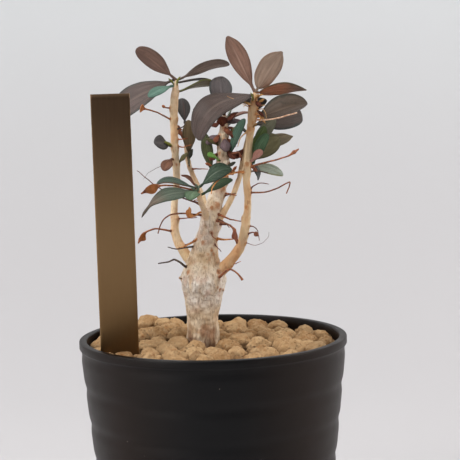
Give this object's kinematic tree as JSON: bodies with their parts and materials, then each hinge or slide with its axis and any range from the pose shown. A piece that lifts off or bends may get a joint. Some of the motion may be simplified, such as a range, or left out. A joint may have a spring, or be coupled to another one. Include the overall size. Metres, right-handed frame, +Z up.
{
  "type": "potted boojum tree",
  "caption": "Young potted boojum tree: swollen pale caudex, upright stems with oval leaves and dried stalks, in gravel in a rippled black pot with a metal label.",
  "frame": {"origin": "centre of the pot's foot, on the surface that the pot stands on", "axes": "+Z up along the pot's axis; -Y towards the front, the side with the label at its left"},
  "size_m": [0.09, 0.09, 0.1816],
  "materials": {
    "pot": "moulded, matt, slightly dusty",
    "potting_mix": "coarse grainy mix",
    "gravel": "rough baked clay stones",
    "label": "bronze, satin",
    "bark": "pale papery bark with scars",
    "leaf": "fleshy, satin",
    "dried_stalk": "dry, woody"
  },
  "bodies": {
    "root": {"pot": "pot", "potting_mix": "potting_mix", "top_gravel": "gravel", "plant_label": "label", "caudex": "bark", "right_stem": "bark", "left_stem": "bark", "front_shoot": "bark", "fork_stem": "bark", "rear_stem": "bark", "leaf_right_tall": "leaf", "leaf_right_upright": "leaf", "leaf_right_level": "leaf", "leaf_right_broad": "leaf", "leaf_right_rolled": "leaf", "leaf_right_back": "leaf", "leaf_right_green": "leaf", "leaf_right_pink": "leaf", "leaf_right_dark": "leaf", "leaf_fork_far": "leaf", "leaf_fork_tall": "leaf", "leaf_fork_bright": "leaf", "leaf_fork_olive": "leaf", "leaf_fork_point": "leaf", "leaf_fork_silver": "leaf", "leaf_middle_round": "leaf", "leaf_middle_pale": "leaf", "leaf_middle_red": "leaf", "leaf_middle_left": "leaf", "leaf_middle_back": "leaf", "leaf_middle_green": "leaf", "leaf_middle_bright": "leaf", "leaf_middle_hanging": "leaf", "leaf_rear_dark": "leaf", "leaf_rear_olive": "leaf", "leaf_rear_brown": "leaf", "leaf_rear_far": "leaf", "leaf_front_dark": "leaf", "leaf_front_under": "leaf", "leaf_front_level": "leaf", "leaf_front_long": "leaf", "leaf_front_small": "leaf", "leaf_left_up": "leaf", "leaf_left_across": "leaf", "leaf_left_broad": "leaf", "leaf_left_teal": "leaf", "leaf_left_low": "leaf", "leaf_left_behind": "leaf", "leaf_left_round": "leaf", "leaf_left_russet": "leaf", "spine_left_long": "dried_stalk", "spine_left_leaf": "dried_stalk", "spine_front_leaf": "dried_stalk", "spine_left_low": "dried_stalk", "spine_right_low": "dried_stalk", "spine_middle_leaf": "dried_stalk", "spine_right_high": "dried_stalk", "spine_right_bud": "dried_stalk", "spine_right_hook": "dried_stalk", "spine_left_high": "dried_stalk"}
  },
  "joints": []
}
